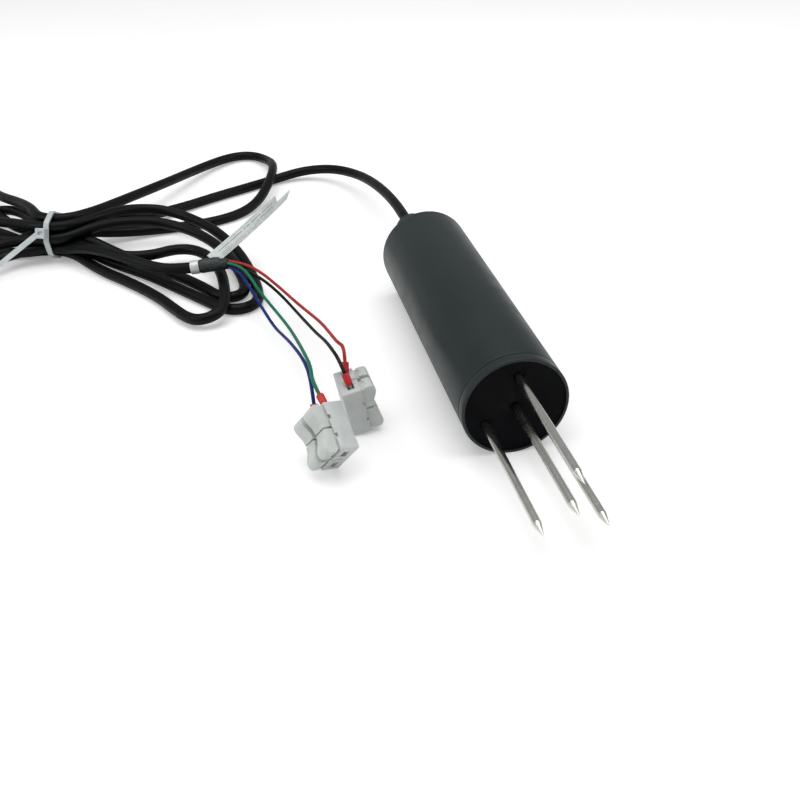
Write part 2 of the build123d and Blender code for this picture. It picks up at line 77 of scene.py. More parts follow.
camera_data = bpy.data.cameras.new("photo_camera")
camera_data.lens = LENS_MM
camera_data.sensor_width = 36.0
camera_data.clip_start = 0.01
camera_data.clip_end = 20.0
camera = bpy.data.objects.new("photo_camera", camera_data)
camera.location = CAMERA_PLACE
aim(camera, CAMERA_FORWARD)
SCENE.collection.objects.link(camera)
SCENE.camera = camera


# ---------------------------------------------------------------- materials
class Nodes:
    """A small builder for one node-based material."""

    def __init__(self, name, **sockets):
        self.material = bpy.data.materials.new(name)
        self.material.use_nodes = True
        self.tree = self.material.node_tree
        self.shader = self.tree.nodes["Principled BSDF"]
        for socket, value in sockets.items():
            self.shader.inputs[socket.replace("_", " ")].default_value = value
        self.coords = self.tree.nodes.new("ShaderNodeTexCoord").outputs["Object"]

    def node(self, kind, inputs=(), **settings):
        made = self.tree.nodes.new("ShaderNode" + kind)
        for setting, value in settings.items():
            setattr(made, setting, value)
        for socket, value in dict(inputs).items():
            if hasattr(value, "links"):
                self.tree.links.new(value, made.inputs[socket])
            else:
                made.inputs[socket].default_value = value
        return made

    def scaled(self, scale):
        """Object coordinates, stretched."""
        return self.node("Mapping", {"Vector": self.coords, "Scale": scale}).outputs["Vector"]

    def noise(self, scale, detail, vector=None):
        made = self.node("TexNoise", {"Vector": vector or self.coords, "Scale": scale, "Detail": detail,
                                      "Roughness": 0.55})
        return made.outputs["Fac"]

    def ramp(self, factor, *stops):
        """Colour or grey stops (position, value) over a factor."""
        made = self.node("ValToRGB", {"Fac": factor})
        while len(made.color_ramp.elements) < len(stops):
            made.color_ramp.elements.new(0.5)
        for element, (position, value) in zip(made.color_ramp.elements, stops):
            element.position = position
            element.color = (*value, 1) if isinstance(value, tuple) else (value, value, value, 1)
        return made.outputs["Color"]

    def math(self, operation, a, b=0.0):
        return self.node("Math", {0: a, 1: b}, operation=operation).outputs["Value"]

    def mix(self, factor, a, b):
        made = self.node("Mix", {"Factor": factor}, data_type="RGBA")
        for socket, value in ((6, a), (7, b)):
            if hasattr(value, "links"):
                self.tree.links.new(value, made.inputs[socket])
            else:
                made.inputs[socket].default_value = (*value, 1)
        return made.outputs[2]

    def colour(self, value):
        self.tree.links.new(value, self.shader.inputs["Base Color"])

    def rough(self, value):
        self.tree.links.new(value, self.shader.inputs["Roughness"])

    def bump(self, height, distance, strength=1.0):
        made = self.node("Bump", {"Height": height, "Distance": distance, "Strength": strength})
        self.tree.links.new(made.outputs["Normal"], self.shader.inputs["Normal"])


def srgb(code):
    """A colour from its sRGB hex code, as linear values."""
    levels = [int(code[i:i + 2], 16) / 255 for i in (0, 2, 4)]
    return tuple(v / 12.92 if v <= 0.04045 else ((v + 0.055) / 1.055) ** 2.4 for v in levels)


def plastic(name, light, dark, rough, grain, grain_depth, blotch, **sockets):
    """Moulded plastic or rubber: two close tones in soft clouds, a fine grain, and a varied sheen."""
    made = Nodes(name, **sockets)
    cloud = made.noise(blotch, 4.0)
    made.colour(made.ramp(cloud, (0.35, srgb(dark)), (0.65, srgb(light))))
    made.rough(made.ramp(made.noise(blotch * 3.7, 5.0), (0.3, rough[0]), (0.7, rough[1])))
    made.bump(made.noise(grain, 2.0), grain_depth, 0.6)
    return made.material


def metal(name, light, dark, rough, stretch, depth=0.000004):
    """Metal with fine marks; stretch is how closely they lie along each axis."""
    made = Nodes(name, Metallic=1.0)
    marks = made.noise(1.0, 4.0, made.scaled(stretch))
    made.colour(made.ramp(marks, (0.3, srgb(dark)), (0.7, srgb(light))))
    made.rough(made.ramp(made.noise(220.0, 4.0), (0.3, rough[0]), (0.7, rough[1])))
    made.bump(marks, depth, 0.5)
    return made.material


def cable_rubber():
    """Black cable jacket: smooth rubber with faint drag marks, dust specks and a soft sheen."""
    made = Nodes("cable_rubber_black", Specular_IOR_Level=0.17)
    cloud = made.noise(90.0, 5.0)
    base = made.ramp(cloud, (0.35, srgb("030406")), (0.68, srgb("06080a")))
    specks = made.ramp(made.noise(1900.0, 2.0), (0.70, 0.0), (0.78, 1.0))
    made.colour(made.mix(made.math("MULTIPLY", specks, 0.10), base, srgb("6c7072")))
    made.rough(made.ramp(made.noise(260.0, 5.0), (0.3, 0.34), (0.7, 0.50)))
    made.bump(made.math("ADD", made.noise(700.0, 4.0), made.math("MULTIPLY", made.noise(160.0, 2.0), 1.6)),
              0.00008, 0.35)
    return made.material


def label_film():
    """Milky film with three rows of generic broken rules."""
    made = Nodes("label_film", Roughness=0.38, Transmission_Weight=0.12, IOR=1.45)
    uv = made.tree.nodes.new("ShaderNodeTexCoord").outputs["UV"]
    parts = made.node("SeparateXYZ", {"Vector": uv})
    along, across = parts.outputs["X"], parts.outputs["Y"]
    rows = made.math("MULTIPLY", across, 4.0)
    rules = made.math("ABSOLUTE", made.math("SUBTRACT", made.math("FRACT", rows), 0.5))
    rules = made.math("LESS_THAN", rules, 0.10)
    between = made.math("LESS_THAN", made.math("ABSOLUTE", made.math("SUBTRACT", across, 0.5)), 0.37)
    words = made.node("CombineXYZ", {"X": made.math("MULTIPLY", along, 26.0),
                                     "Y": made.math("MULTIPLY", made.math("FLOOR", rows), 9.0)})
    gaps = made.node("TexNoise", {"Vector": words.outputs["Vector"], "Scale": 1.0, "Detail": 1.0})
    broken = made.math("GREATER_THAN", gaps.outputs["Fac"], 0.45)
    ends = made.math("LESS_THAN", made.math("ABSOLUTE", made.math("SUBTRACT", along, 0.52)), 0.40)
    ink = made.math("MULTIPLY", made.math("MULTIPLY", rules, between), made.math("MULTIPLY", broken, ends))
    film = made.ramp(made.noise(240.0, 4.0), (0.3, srgb("d3dbda")), (0.7, srgb("e7ecea")))
    made.colour(made.mix(made.math("MULTIPLY", ink, 0.85), film, srgb("3c4347")))
    made.bump(made.noise(900.0, 3.0), 0.00002, 0.4)
    return made.material


def board_green():
    """Solder mask over fine copper tracks."""
    made = Nodes("solder_mask_green", Roughness=0.32, Coat_Weight=0.3)
    tracks = made.node("TexVoronoi", {"Vector": made.scaled((420, 420, 420)), "Scale": 1.0},
                       feature="DISTANCE_TO_EDGE", distance="MANHATTAN").outputs["Distance"]
    made.colour(made.ramp(tracks, (0.05, srgb("2f8a4d")), (0.12, srgb("12512c"))))
    made.bump(tracks, 0.00003, 0.4)
    return made.material


MATERIALS = {
    "housing": plastic("housing_plastic", "1f2a2a", "1b2526", (0.34, 0.42), 2600.0, 0.00001, 30.0,
                       Specular_IOR_Level=0.40),
    "head": plastic("head_plastic", "05060a", "040508", (0.46, 0.56), 2200.0, 0.00002, 60.0,
                    Specular_IOR_Level=0.07),
    "rubber_black": plastic("seal_rubber", "191919", "121212", (0.6, 0.75), 1500.0, 0.00003, 90.0),
    "gland": plastic("gland_nylon", "232b2c", "1c2324", (0.36, 0.5), 1800.0, 0.00002, 90.0),
    "needle_steel": metal("needle_steel", "e6e5e0", "d8d6d0", (0.16, 0.24), (1800, 500, 500), 0.000001),
    "circuit_board": board_green(),
    "tinned_steel": metal("tinned_steel", "c4c6c6", "a5a8a9", (0.28, 0.42), (500, 500, 500)),
    "chip_black": plastic("chip_epoxy", "232526", "17191a", (0.45, 0.6), 3000.0, 0.00002, 200.0),
    "resin": plastic("potting_resin", "20221f", "151714", (0.2, 0.34), 300.0, 0.00006, 120.0),
    "cable_jacket": cable_rubber(),
    "white_band": plastic("band_film", "e2e3e3", "cfd1d1", (0.26, 0.4), 1200.0, 0.00002, 160.0,
                          Metallic=0.35),
    "shrink_grey": plastic("shrink_grey", "33393a", "262b2c", (0.42, 0.6), 900.0, 0.00006, 260.0),
    "shrink_black": plastic("shrink_black", "1e2223", "141718", (0.42, 0.6), 900.0, 0.00006, 260.0),
    "label": label_film(),
    "tie": plastic("tie_nylon", "ccd3d4", "bac2c4", (0.3, 0.44), 1400.0, 0.00002, 140.0,
                   Subsurface_Weight=0.15, Subsurface_Radius=(0.002, 0.002, 0.002), Subsurface_Scale=1.0),
    "connector_clear": plastic("connector_nylon", "e4e8e6", "d7dcda", (0.3, 0.42), 1100.0, 0.00003, 120.0,
                               Transmission_Weight=0.22, IOR=1.5, Subsurface_Weight=0.25,
                               Subsurface_Radius=(0.003, 0.003, 0.003), Subsurface_Scale=1.0),
    "lever_clear": plastic("lever_nylon", "dfe3df", "d2d7d3", (0.3, 0.44), 1100.0, 0.00003, 150.0,
                           Transmission_Weight=0.16, IOR=1.5, Subsurface_Weight=0.25,
                           Subsurface_Radius=(0.003, 0.003, 0.003), Subsurface_Scale=1.0),
    "spring_steel": metal("spring_steel", "b9b39c", "7d776a", (0.22, 0.38), (800, 800, 800)),
    "ferrule": plastic("ferrule_nylon", "cf1f22", "b7181b", (0.28, 0.42), 1400.0, 0.00003, 200.0),
    "ferrule_pin": metal("ferrule_tinned_copper", "c8c8c4", "9c9b95", (0.24, 0.4), (900, 900, 900)),
}
for slot_name, light, dark in (("core_red", "b8342e", "a02a26"), ("core_black", "0a0b0d", "060709"),
                               ("core_green", "0f7a5a", "0b684a"), ("core_blue", "142c80", "0f2368")):
    MATERIALS[slot_name] = plastic(slot_name, light, dark, (0.3, 0.45), 1500.0, 0.00003, 300.0,
                                   Specular_IOR_Level=0.25)
# the CAD nodes that stay, each with its material
CARRIED = {
    "circuit_board": ("probe_board", "main_board"),
    "tinned_steel": ("shield_can", "capacitor"),
    "chip_black": ("controller_chip", "line_driver_chip", "wire_header"),
    "resin": ("potting_disc",),
    "rubber_black": ("head_o_ring", "gland_washer", "gland_seal"),
    "gland": ("gland_locknut",),
    "cable_jacket": ("cable_inner",),
}
for slot_name, node_names in CARRIED.items():
    for node_name in node_names:
        for material_slot in NODES[node_name].material_slots:
            material_slot.material = MATERIALS[slot_name]


# ---------------------------------------------------------------- mesh helpers: millimetres in, metres out
def piece(name, mesh, slot, replaced, body="probe", sharp=38.0):
    """A finished piece: its material, its shading, the body it rides on and the nodes it stands for."""
    obj = bpy.data.objects.new(name, mesh)
    SCENE.collection.objects.link(obj)
    if not mesh.materials:
        mesh.materials.append(MATERIALS[slot])
    mesh.shade_smooth()
    mesh.set_sharp_from_angle(angle=radians(sharp))
    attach(obj, body)
    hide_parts(*replaced)
    return obj


def soft_corners(points, size, closed=True, steps=4):
    """A polygon whose corners are rounded by curves of about this size."""
    made = []
    count = len(points)
    for i, here in enumerate(points):
        if not closed and i in (0, count - 1):
            made.append(tuple(here))
            continue
        corner = Vector(here)
        before = Vector(points[i - 1]) - corner
        after = Vector(points[(i + 1) % count]) - corner
        start = corner + before.normalized() * min(size, before.length * 0.45)
        end = corner + after.normalized() * min(size, after.length * 0.45)
        for k in range(steps + 1):
            t = k / steps
            made.append(tuple(start * (1 - t) ** 2 + corner * 2 * t * (1 - t) + end * t * t))
    return made


def seat_matrix(origin, x_dir, z_dir):
    """A frame from its origin, its Z and the X nearest to x_dir, in millimetres."""
    z = Vector(z_dir).normalized()
    x = Vector(x_dir)
    x = (x - z * x.dot(z)).normalized()
    return Matrix.Translation(Vector(origin)) @ Matrix((x, z.cross(x), z)).transposed().to_4x4()


ON_AXIS = 1e-6


def turned(profile, place, segments, outline=None, closed=True):
    """A mesh turned from (distance, radius) points round place's Z; outline may reshape the radius."""
    made = bmesh.new()
    rings = []
    for at, radius in profile:
        ring = []
        if radius < ON_AXIS:
            ring.append(made.verts.new(place @ Vector((0, 0, at)) * MM))
        else:
            for k in range(segments):
                angle = 2 * pi * k / segments
                r = outline(angle, radius, at) if outline else radius
                ring.append(made.verts.new(place @ Vector((r * cos(angle), r * sin(angle), at)) * MM))
        rings.append(ring)
    pairs = list(zip(rings, rings[1:] + rings[:1])) if closed else list(zip(rings, rings[1:]))
    for one, two in pairs:
        for k in range(segments):
            m = (k + 1) % segments
            if len(one) == 1 and len(two) == 1:
                break
            if len(one) == 1:
                made.faces.new((one[0], two[k], two[m]))
            elif len(two) == 1:
                made.faces.new((one[m], one[k], two[0]))
            else:
                made.faces.new((one[k], two[k], two[m], one[m]))
    bmesh.ops.recalc_face_normals(made, faces=made.faces)
    return made


def to_mesh(made, name):
    mesh = bpy.data.meshes.new(name)
    made.to_mesh(mesh)
    made.free()
    return mesh


def block(place, low, high, bevel=0.0):
    """A box between two corners in place's frame, with its edges bevelled."""
    made = bmesh.new()
    bmesh.ops.create_cube(made, size=1.0)
    low, high = Vector(low), Vector(high)
    for vert in made.verts:
        vert.co = Vector([(low[i] + high[i]) / 2 + vert.co[i] * (high[i] - low[i]) for i in range(3)])
    if bevel:
        bmesh.ops.bevel(made, geom=made.edges[:], offset=bevel, segments=3, profile=0.5, affect="EDGES")
    for vert in made.verts:
        vert.co = place @ vert.co * MM
    bmesh.ops.recalc_face_normals(made, faces=made.faces)
    return made


def prism(outline, place, low, high, bevel=0.0, segments=3):
    """A polygon of (x, z) points pushed along place's Y from low to high, with its long edges bevelled."""
    made = bmesh.new()
    near = [made.verts.new(Vector((x, low, z))) for x, z in outline]
    far = [made.verts.new(Vector((x, high, z))) for x, z in outline]
    made.faces.new(near)
    made.faces.new(list(reversed(far)))
    count = len(outline)
    for k in range(count):
        m = (k + 1) % count
        made.faces.new((near[m], near[k], far[k], far[m]))
    bmesh.ops.recalc_face_normals(made, faces=made.faces)
    if bevel:
        rims = [e for e in made.edges if (e.verts[0].co.y == e.verts[1].co.y)]
        bmesh.ops.bevel(made, geom=rims, offset=bevel, segments=segments, profile=0.5, affect="EDGES",
                        clamp_overlap=True)
    for vert in made.verts:
        vert.co = place @ vert.co * MM
    return made


def carved(body, cutters, name, bevel=0.0):
    """The body with the cutters taken out of it, and then its sharp edges bevelled."""
    base = bpy.data.objects.new("carving", to_mesh(body, "carving"))
    SCENE.collection.objects.link(base)
    spare = []
    for cutter in cutters:
        tool = bpy.data.objects.new("cutter", to_mesh(cutter, "cutter"))
        SCENE.collection.objects.link(tool)
        spare.append(tool)
        modifier = base.modifiers.new("cut", "BOOLEAN")
        modifier.operation = "DIFFERENCE"
        modifier.solver = "EXACT"
        modifier.object = tool
    if bevel:
        modifier = base.modifiers.new("edges", "BEVEL")
        modifier.width = bevel * MM
        modifier.segments = 2
        modifier.limit_method = "ANGLE"
        modifier.angle_limit = radians(40)
        modifier.use_clamp_overlap = True
    bpy.context.view_layer.update()
    mesh = bpy.data.meshes.new_from_object(base.evaluated_get(bpy.context.evaluated_depsgraph_get()))
    mesh.name = name
    for tool in spare + [base]:
        bpy.data.objects.remove(tool)
    return mesh


def joined(name, *parts):
    """Several bmeshes as one mesh; each part may come as (bmesh, material index)."""
    mesh = bpy.data.meshes.new(name)
    whole = bmesh.new()
    for part in parts:
        made, index = part if isinstance(part, tuple) else (part, 0)
        for face in made.faces:
            face.material_index = index
        spare = bpy.data.meshes.new("spare")
        made.to_mesh(spare)
        made.free()
        whole.from_mesh(spare)
        bpy.data.meshes.remove(spare)
    whole.to_mesh(mesh)
    whole.free()
    return mesh


# ---------------------------------------------------------------- cords
def cord(name, route, diameter, slot, replaced):
    """One open NURBS spline through its control points, in millimetres."""
    curve = bpy.data.curves.new(name, "CURVE")
    curve.dimensions = "3D"
    curve.bevel_depth = diameter / 2 * MM
    curve.bevel_resolution = 5
    curve.use_fill_caps = True
    spline = curve.splines.new("NURBS")
    spline.points.add(len(route) - 1)
    for point, place in zip(spline.points, route):
        point.co = (*(Vector(place) * MM), 1)
    spline.order_u = 3
    spline.use_endpoint_u = True
    spline.resolution_u = 8
    curve.materials.append(MATERIALS[slot])
    obj = bpy.data.objects.new(name, curve)
    SCENE.collection.objects.link(obj)
    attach(obj, "probe")
    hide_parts(*replaced)
    return obj


# the hank: a waist of strands in the tie, loose turns on the right, folds on the left
TIE = (-159.0, -172.0)
TIE_ANGLE = radians(17)
BUNDLE_R = 10.8
STRAP_T = 1.2
BUNDLE_Z = STRAP_T + BUNDLE_R
TIE_ALONG = (sin(TIE_ANGLE), cos(TIE_ANGLE))
TIE_FRONT = (cos(TIE_ANGLE), -sin(TIE_ANGLE))
OUTER_R = BUNDLE_R - CABLE_R
STRANDS = {  # strand in the tie: (angle from the front, in degrees, and distance from the middle)
    "turn_1_far": (96, OUTER_R), "turn_2_far": (51, OUTER_R), "turn_3_far": (8, OUTER_R),
    "tail": (-34, OUTER_R),
    "turn_4_low": (-78, OUTER_R), "turn_2_low": (-123, OUTER_R), "turn_1_near": (-168, OUTER_R),
    "lead": (143, OUTER_R), "turn_3_low": (165, 3.0), "turn_4_high": (-60, 2.8),
}
LEAD = [
    (-110, 0, 20), (-134, 0, 20), (-162, -1.5, 18), (-188, -4, 14.6), (-210, -8.5, 11.2), (-230, -19, 8),
    (-238.5, -35, 5.0), (-234, -52, 3.0), (-226, -68, 2.6), (-215, -88, 2.8), (-203.5, -107, 2.8),
    (-191, -125, 4.6), (-178, -145, 10)]
TURN_1 = [
    (-167.5, -153.5, 18.6), (-182, -145, 15.8), (-200, -132, 13.4), (-221, -117.5, 10.4), (-243, -104, 7),
    (-262, -91, 4.4), (-274, -79, 3.4), (-278.5, -68.5, 3.0), (-275.5, -60.5, 3.0), (-266, -55.3, 3.8),
    (-253, -53, 6.2), (-239, -53.2, 8.6), (-226, -55.6, 9), (-212, -60, 7), (-199, -66.5, 4.2),
    (-188.5, -75.5, 2.8), (-181, -88, 2.6), (-177, -103, 2.6), (-175, -122, 2.8), (-171, -143, 4.8)]
TURN_2 = [
    (-162, -153, 17.6), (-176, -139.5, 15.2), (-181, -123, 12.5), (-174, -108.5, 10.4), (-155.5, -92.5, 8),
    (-129, -82, 5), (-104, -78.3, 2.8), (-93, -77.8, 2.6), (-84, -78.6, 2.6), (-79, -82.3, 2.6),
    (-77, -88.3, 2.6), (-78.9, -94.6, 2.6), (-87.5, -101.4, 2.6), (-103.5, -113.6, 2.6), (-122, -128, 2.6),
    (-142, -148, 2.6)]
TURN_3 = [
    (-152.5, -153, 8.6), (-142.5, -139.5, 4.2), (-128, -123.5, 2.8), (-113, -110.5, 2.8),
    (-101, -101.8, 2.8), (-93.5, -97.6, 2.8), (-89.3, -92.6, 2.8), (-89.8, -87.2, 2.8), (-94.5, -83.8, 2.8),
    (-104, -83.4, 3.4), (-118, -86.2, 5.4), (-136, -92.6, 8.2), (-154, -105, 10), (-164.5, -122, 12),
    (-162.5, -140, 14.2), (-156, -154, 15.2)]
TURN_4 = [
    (-146.5, -155, 8.4), (-133.5, -140, 8.2), (-131.5, -126, 8.2), (-136.5, -114, 8.2), (-133, -104, 8.4),
    (-121.5, -97, 8.4), (-105, -93.4, 8), (-86, -93.2, 7.9), (-73.4, -94.8, 6.8), (-67.6, -99.8, 5.6),
    (-67.6, -107, 4.4), (-73.2, -112, 3.6), (-84, -117.4, 3.2), (-97, -123.7, 2.8), (-114, -135.6, 2.8),
    (-132.7, -151.6, 2.8)]
TAIL = [
    (-142.5, -159, 10.8), (-131, -148, 13.2), (-120, -137, 13.4), (-110.5, -126, 12.4), (-104.6, -114.6, 12)]
# each fold: the strand that leaves, the points on its way, its end turn (middle, radius, heading, way round,
# heights), the points back, the strand it joins, and the turn on the right that follows
FOLDS = [
    ("lead", [(-179, -184.5, 12.6), (-194, -191, 10.6), (-208, -200, 8.0), (-218, -211, 3.4)],
     ((-239, -229), 17.5, -108, -1, 3.4, 3.4),
     [(-250.5, -214, 5.4), (-238.5, -211, 8.4), (-222.5, -207, 11.4), (-207.5, -199.5, 14.2),
      (-192.5, -190.5, 17), (-177.5, -183.6, 19.5)],
     "turn_1_far", TURN_1),
    ("turn_1_near", [(-178, -186, 7), (-190, -196, 5), (-206, -206, 6.6)],
     ((-208, -228), 17.5, -126, 1, 8.2, 10.4),
     [(-185, -221, 13), (-178, -203, 14), (-166, -189, 16.4)], "turn_2_far", TURN_2),
    ("turn_2_low", [(-170, -186.5, 3), (-184, -198.5, 2.8), (-197, -211, 2.8)],
     ((-188, -229), 17.5, -105, 1, 2.8, 2.8),
     [(-173, -214, 2.8), (-171, -199, 4), (-167, -187, 8)], "turn_3_low", TURN_3),
    ("turn_3_far", [(-156, -192, 11.6), (-152.5, -209, 8.6)], ((-168, -233), 17.5, -92, -1, 8.2, 7.6),
     [(-183, -216, 7.6), (-170.5, -203, 8.2), (-162, -189, 9.2)], "turn_4_high", TURN_4),
    ("turn_4_low", [(-161, -189, 2.8), (-164, -206, 2.8)], ((-149.5, -227), 17, -88, 1, 2.8, 2.8),
     [(-134, -212, 4.5), (-147.5, -198, 7.6)], "tail", TAIL),
]


def in_tie(strand, run):
    """A strand's point this far along the bundle from the tie."""
    angle, distance = STRANDS[strand]
    out = distance * cos(radians(angle))
    return (TIE[0] + TIE_FRONT[0] * out + TIE_ALONG[0] * run,
            TIE[1] + TIE_FRONT[1] * out + TIE_ALONG[1] * run,
            BUNDLE_Z + distance * sin(radians(angle)))


def end_turn(middle, radius, heading, way, low, high, steps=6):
    """Half a turn round a middle, from one side of the heading to the other."""
    wide = radius / cos(pi / 2 / steps)
    made = []
    for k in range(steps + 1):
        angle = radians(heading) + way * (pi * k / steps - pi / 2)
        made.append((middle[0] + wide * cos(angle), middle[1] + wide * sin(angle),
                     low + (high - low) * k / steps))
    return made


CABLE_END = (-101.5, -97, 14.1)
WAIST = 7.0          # half the length that the strands run straight through the tie
cable_route = list(LEAD)
for leaves, way_out, end, way_back, joins, right in FOLDS:
    cable_route += [in_tie(leaves, WAIST), in_tie(leaves, -WAIST), *way_out, *end_turn(*end), *way_back,
                    in_tie(joins, -WAIST), in_tie(joins, WAIST), *right]
cable_route.append(CABLE_END)
cable = cord("cable", cable_route, CABLE_D, "cable_jacket", ("cable_lead", "cable_hank", "cable_tail"))

# the cable's end: band, sleeve and boot follow these lines
SLEEVE_START = Vector((-103.6, -107.2, 12.9))
SLEEVE_DIR = Vector((0.13, 0.984, 0.12)).normalized()
BOOT_DIR = Vector((0.42, 0.90, 0.10)).normalized()
BOOT_LENGTH = 6.0
BOOT_START = SLEEVE_START + SLEEVE_DIR * 12.0


BOOT_END = seat_matrix(BOOT_START + BOOT_DIR * BOOT_LENGTH, (1, 0, 0), BOOT_DIR)
CONN_L = 19.0
POLE_PITCH = 8.3     # also half the connector's width
CHANNEL_Z = -2.3     # the middle of each wire channel
SEATS = {
    "front": seat_matrix((43.0, -67.8, 13.4), (0.828, 0.190, -0.527), (0.370, -0.892, 0.259)),
    "rear": seat_matrix((19.0, -50.8, 10.7), (0.009, 0.195, -0.981), (-0.044, 0.980, 0.194)),
}
POLES = {"a": -POLE_PITCH / 2, "b": POLE_PITCH / 2}
COLLAR_LENGTH = 4.6
COLLAR_GAP = 0.3
STRAIGHT_RUN = 6.0   # of each core before its ferrule
# name: (connector, pole, the way it comes out, place on the boot's end, route's middle, length in metres)
CORES = {
    "red": ("rear", "b", (-0.62, 0.10, 0.78), (-0.95, -0.95),
            [(-96, -83.5, 16.2), (-89, -76.8, 15.0), (-76, -70.2, 13.4), (-54, -63.2, 14.0),
             (-28, -57.8, 19.3), (-11, -56.6, 23.6), (1.5, -55.6, 26.2)], 0.125),
    "black": ("rear", "a", (-0.65, -0.25, 0.71), (-0.95, 0.95),
              [(-95.6, -84.4, 13.8), (-87, -76.4, 12.4), (-72, -69.4, 10.9), (-47, -63.9, 12.6),
               (-20, -60.6, 18.6), (-5, -59.2, 23.6), (8, -58.4, 26.8)], 0.132),
    "green": ("front", "b", (-0.80, -0.30, 0.52), (0.95, -0.95),
              [(-94.5, -84.6, 15.6), (-86.5, -81.4, 13.9), (-74, -78.6, 12.4), (-58, -73.6, 10.8),
               (-38, -70, 13.0), (-14, -69.2, 20.0), (6, -68.6, 25.0), (18, -68.2, 26.9)], 0.139),
    "blue": ("front", "a", (-0.57, 0.0, 0.82), (0.95, 0.95),
             [(-94.4, -86, 13.4), (-87, -83.8, 12.2), (-77, -81.8, 11.6), (-64, -78.6, 9.2), (-48, -75, 7.6),
              (-32, -73, 12.4), (-17, -71.6, 17.4), (0, -69.8, 21.6),
              (12, -69.2, 24.2), (20.5, -69.2, 25.2)], 0.137),
}
cores = {}           # name: (the cord, its start, its end, the way it leaves the connector)
for core_name, (end_name, pole, outward, spot, middle, _) in CORES.items():
    outward = Vector(outward).normalized()
    entry = SEATS[end_name] @ Vector((-CONN_L / 2, POLES[pole], CHANNEL_Z))
    core_end = entry + outward * (COLLAR_LENGTH + COLLAR_GAP)
    route = [BOOT_END @ Vector((*spot, 0)), *middle, core_end + outward * STRAIGHT_RUN, core_end]
    wire = cord(f"core_{core_name}_wire", route, CORE_D, f"core_{core_name}", (f"core_{core_name}",))
    cores[core_name] = (wire, route[0], core_end, outward)

# ---------------------------------------------------------------- probe: housing, head and needles
AXLE = Matrix.Translation(Vector((0, 0, AXIS_Z))) @ Matrix(((0, 0, 1), (1, 0, 0), (0, 1, 0))).to_4x4()
BORE_R = BODY_R - 3.0
THREAD_R = 6.0
HOLE_R = THREAD_R + 0.01
REAR_WALL_X = REAR_X + 4.0
REAR_ROUND = 2.2
EDGE_ROUND = 0.35
MIDDLE_X = SEAM_X - 60.0
shell_profile = [
    *soft_corners([(REAR_X, HOLE_R), (REAR_X, BODY_R), (MIDDLE_X, BODY_R)], REAR_ROUND, closed=False,
                  steps=8),
    *soft_corners([(MIDDLE_X, BODY_R), (SEAM_X - SEAM, BODY_R), (SEAM_X - SEAM, BORE_R)], EDGE_ROUND,
                  closed=False)[1:],
    (REAR_WALL_X, BORE_R), (REAR_WALL_X, HOLE_R)]
piece("housing", to_mesh(turned(shell_profile, AXLE, 160), "housing"), "housing", ("housing_shell",))

SPIGOT_R = BORE_R - 0.05
SPIGOT_X = SEAM_X - 12.0
GROOVE_X = (SEAM_X - 6.5, SEAM_X - 4.1)
GROOVE_R = BORE_R - 2.0
RIM_R = BODY_R - 1.2
RECESS_X = FACE_X - 0.8
NEEDLE_R = 1.5
ROOT_R = 1.8         # the needle's thick root, held in the head
ROOT_END_X = FACE_X - 2.0
FIT = 0.01
head_profile = [
    *soft_corners([(SEAM_X, SPIGOT_R), (SEAM_X, BODY_R), (FACE_X, BODY_R), (FACE_X, RIM_R),
                   (RECESS_X, RIM_R), (RECESS_X, 0.0)], EDGE_ROUND, closed=False),
    (SPIGOT_X, 0.0), (SPIGOT_X, SPIGOT_R), (GROOVE_X[0], SPIGOT_R), (GROOVE_X[0], GROOVE_R),
    (GROOVE_X[1], GROOVE_R), (GROOVE_X[1], SPIGOT_R)]
# a needle's hole: the root's socket, the close hole round the needle, and the dished mouth
hole_profile = [
    (SPIGOT_X - 2.0, 0), (SPIGOT_X - 2.0, ROOT_R + FIT), (FACE_X - 1.9, ROOT_R + FIT),
    (FACE_X - 1.9, NEEDLE_R + FIT), (FACE_X - 1.5, NEEDLE_R + FIT), (FACE_X - 1.5, 2.0), (FACE_X - 1.0, 2.1),
    (FACE_X - 0.7, 2.6), (FACE_X + 2.0, 2.6), (FACE_X + 2.0, 0)]
holes = [turned(hole_profile, Matrix.Translation(Vector((0, across, up))) @ AXLE, 48, closed=False)
         for across, up in NEEDLE_SPOTS.values()]
head_mesh = carved(turned(head_profile, AXLE, 160, closed=True), holes, "head")
head_mesh.materials.clear()
head_mesh.materials.append(MATERIALS["housing"])
head_mesh.materials.append(MATERIALS["head"])
for face in head_mesh.polygons:
    middle = face.center / MM
    face.material_index = int(hypot(middle.y, middle.z - AXIS_Z) < RIM_R + 0.1)
piece("head", head_mesh, "head", ("probe_head",))

STEM_X, ROOT_X, STEM_R = 20.8, 24.0, 0.8    # the needle's thin tail on the probe board
needle_profile = [
    (STEM_X, 0), (STEM_X, STEM_R), (ROOT_X, STEM_R), (ROOT_X, ROOT_R), (ROOT_END_X, ROOT_R),
    (ROOT_END_X + 0.05, NEEDLE_R),
    *soft_corners([(ROOT_END_X + 0.2, NEEDLE_R), (TIP_X - 6.0, NEEDLE_R), (TIP_X - 0.35, 0.13),
                   (TIP_X, 0.0)], EDGE_ROUND, closed=False)]
for needle_name, (across, up) in NEEDLE_SPOTS.items():
    needle_mesh = to_mesh(turned(needle_profile, Matrix.Translation(Vector((0, across, up))) @ AXLE, 48,
                                 closed=False), f"needle_{needle_name}")
    piece(f"needle_{needle_name}_rod", needle_mesh, "needle_steel", (f"needle_{needle_name}",), sharp=24)

# ---------------------------------------------------------------- cable gland
FLANGE_X = REAR_X - 1.2
NUT_X = FLANGE_X - 5.0
NUT_R = 7.8
HEX_FLAT = 7.5       # half the distance across the flats
HEX_R = 8.66
SEAL_R = 4.55        # of the seat for the seal
THROAT_R = 3.1
NUT_HOLE_R = 2.62
FLUTES = 12
FLUTE_DEPTH = 0.55
FLUTES_LENGTH = 13.5


